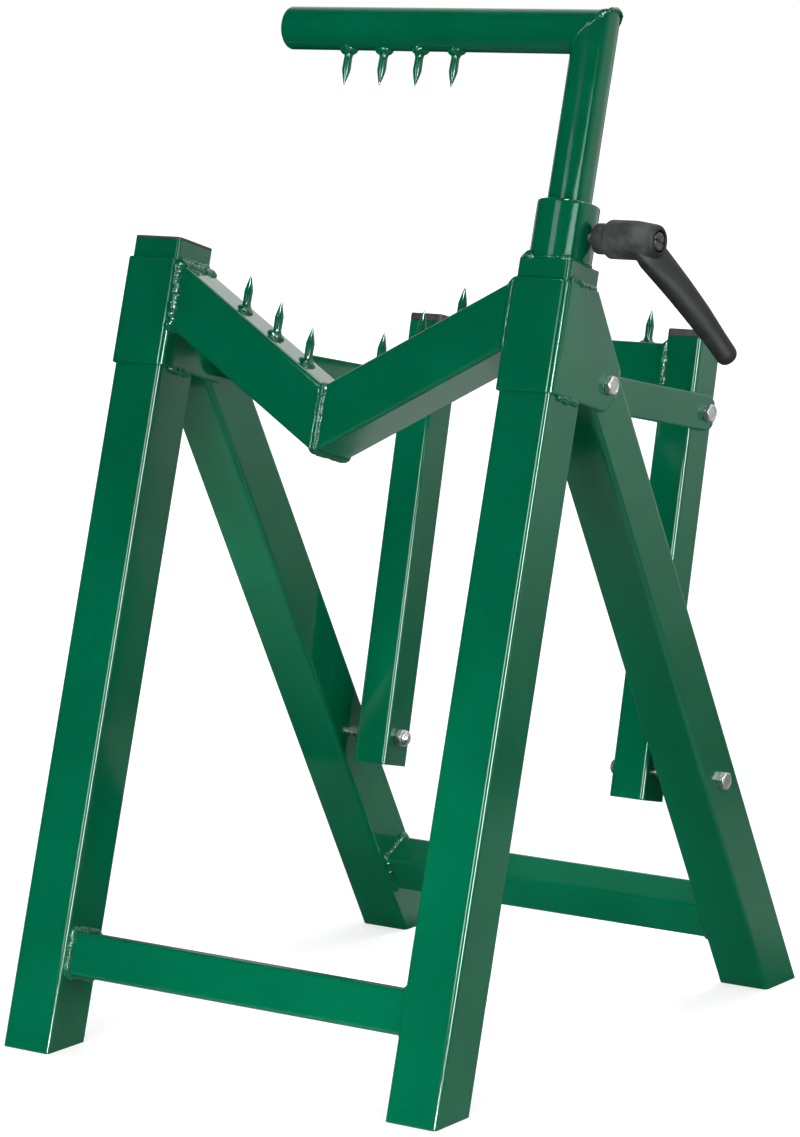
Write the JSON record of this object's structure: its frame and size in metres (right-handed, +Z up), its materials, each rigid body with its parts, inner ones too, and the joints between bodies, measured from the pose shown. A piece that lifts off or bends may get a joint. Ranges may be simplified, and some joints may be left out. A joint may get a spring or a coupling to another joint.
{
  "type": "log saw stand",
  "caption": "Folding steel stand with a spiked V cradle, a spiked rear beam and a swivelling clamp arm that hold a log while it is sawn.",
  "frame": {"origin": "middle of the overall box on the floor plane", "axes": "+X to the stand's right as seen from the front, towards the clamp lever; +Y from the front legs to the rear legs; +Z up"},
  "size_m": [0.6002, 0.6364, 0.933],
  "materials": {
    "green_paint": "gloss powder coat",
    "zinc": "bright zinc plate",
    "black_plastic": "moulded satin",
    "lever_plastic": "fine moulded texture",
    "dark_steel": "blackened"
  },
  "bodies": {
    "front_frame": {"front_leg_left": "green_paint", "front_leg_right": "green_paint", "front_crossbar": "green_paint", "cradle_arm_left": "green_paint", "cradle_arm_right": "green_paint", "cradle_spikes": "green_paint", "hinge_bracket_left": "green_paint", "hinge_bracket_right": "green_paint", "arm_collar": "green_paint", "front_leg_cap": "black_plastic", "front_foot_plugs": "black_plastic", "pivot_bolts": "zinc", "pivot_nuts": "zinc"},
    "rear_frame": {"pivot_spacers": "zinc", "rear_leg_left": "green_paint", "rear_leg_right": "green_paint", "rear_crossbar": "green_paint", "rear_foot_plugs": "black_plastic", "link_bar_left": "green_paint", "link_bar_right": "green_paint", "rear_post_left": "green_paint", "rear_post_right": "green_paint", "rear_beam": "green_paint", "rear_spikes": "green_paint", "rear_post_caps": "black_plastic", "link_bolts": "zinc", "link_nuts": "zinc", "post_bolts": "zinc", "post_nuts": "zinc"},
    "arm_guide": {"arm_guide": "black_plastic"},
    "clamp_arm": {"arm_post": "green_paint", "arm_bar": "green_paint", "arm_spikes": "green_paint"},
    "lever_stud": {"lever_insert": "dark_steel", "lever_screw": "dark_steel", "lever_spring": "zinc"},
    "lever_handle": {"lever_handle": "lever_plastic"}
  },
  "joints": [
    {"name": "rear_fold", "type": "hinge", "parent": "front_frame", "child": "rear_frame", "pos_m": [-0.05485, -0.05781, 0.60883], "axis": [-1, 0, 0], "range_deg": [0, 45]},
    {"name": "arm_slide", "type": "slide", "parent": "front_frame", "child": "arm_guide", "axis": [0, 0.2672, 0.9636], "range_m": [-0.13, 0.15]},
    {"name": "arm_swivel", "type": "hinge", "parent": "arm_guide", "child": "clamp_arm", "pos_m": [0.15415, -0.03766, 0.91352], "axis": [0, 0.2672, 0.9636], "continuous": true},
    {"name": "lever_turn", "type": "hinge", "parent": "front_frame", "child": "lever_stud", "pos_m": [0.15415, -0.08629, 0.73814], "axis": [1, 0, 0], "range_deg": [0, 180]},
    {"name": "lever_lift", "type": "slide", "parent": "lever_stud", "child": "lever_handle", "axis": [1, 0, 0], "range_m": [0, 0.0055], "stiffness_N_per_m": 800, "springref_m": -0.004, "deforming": ["lever_spring"]}
  ]
}
